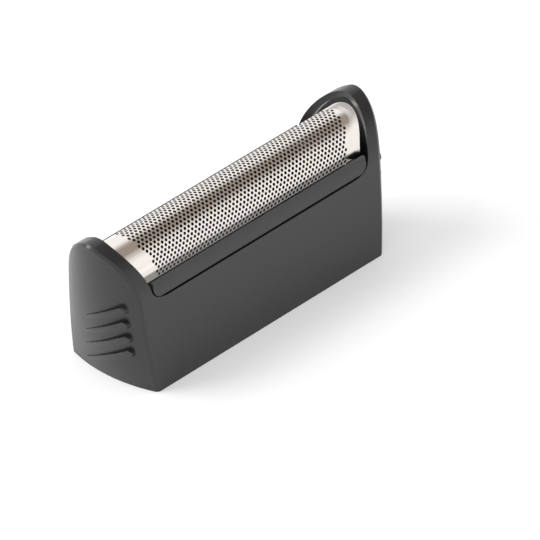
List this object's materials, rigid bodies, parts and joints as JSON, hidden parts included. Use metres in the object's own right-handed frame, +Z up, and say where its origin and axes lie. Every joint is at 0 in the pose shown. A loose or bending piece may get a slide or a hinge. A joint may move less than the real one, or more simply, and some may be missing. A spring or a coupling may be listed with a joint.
{
  "type": "shaver foil head",
  "caption": "Replacement head for an electric shaver: an arched perforated foil on a moulded carrier, held in a black frame with raised, bowed end caps.",
  "frame": {"origin": "middle of the frame's bottom rim, on the table", "axes": "+X along the head, -Y the side with the grips' heads nearer, +Z up from the rim to the foil"},
  "size_m": [0.058, 0.0174, 0.024],
  "materials": {
    "frame_plastic": "satin black",
    "carrier_plastic": "satin black",
    "foil_metal": "bright rolled foil"
  },
  "bodies": {
    "root": {"outer_frame": "frame_plastic", "foil_carrier": "carrier_plastic", "foil": "foil_metal"}
  },
  "joints": []
}
